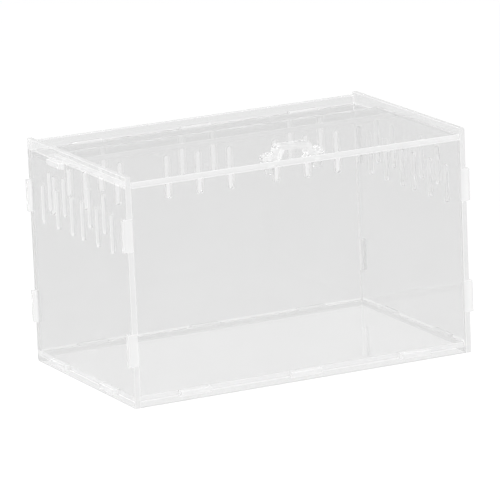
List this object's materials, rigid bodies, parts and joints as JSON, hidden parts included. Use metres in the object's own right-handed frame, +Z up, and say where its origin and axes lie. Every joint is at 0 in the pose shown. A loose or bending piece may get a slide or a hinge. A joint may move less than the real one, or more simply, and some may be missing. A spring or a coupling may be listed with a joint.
{
  "type": "reptile breeding box",
  "caption": "Clear tab-and-slot box for rearing small reptiles, with slotted vents, a fixed rear shelf and a lift-off lid with a low bow handle.",
  "frame": {"origin": "on the table, under the middle of the box", "axes": "+Z up, +X along the plain front panel to the right, +Y from the front panel to the vented back panel"},
  "size_m": [0.2044, 0.1254, 0.127],
  "materials": {
    "box_sheet": "clear polished acrylic sheet",
    "lid_sheet": "clear polished acrylic sheet",
    "handle_plastic": "clear moulded plastic",
    "screw_nylon": "milky clear nylon"
  },
  "bodies": {
    "box": {"left_side_panel": "box_sheet", "right_side_panel": "box_sheet", "front_panel": "box_sheet", "back_panel": "box_sheet", "floor_panel": "box_sheet", "rear_shelf": "box_sheet"},
    "lid": {"lid": "lid_sheet", "lid_handle": "handle_plastic", "left_handle_screw": "screw_nylon", "right_handle_screw": "screw_nylon", "left_cap_nut": "screw_nylon", "right_cap_nut": "screw_nylon"}
  },
  "joints": [
    {"name": "lid_lift", "type": "slide", "parent": "box", "child": "lid", "axis": [0, 0, 1], "range_m": [0, 0.06]}
  ]
}
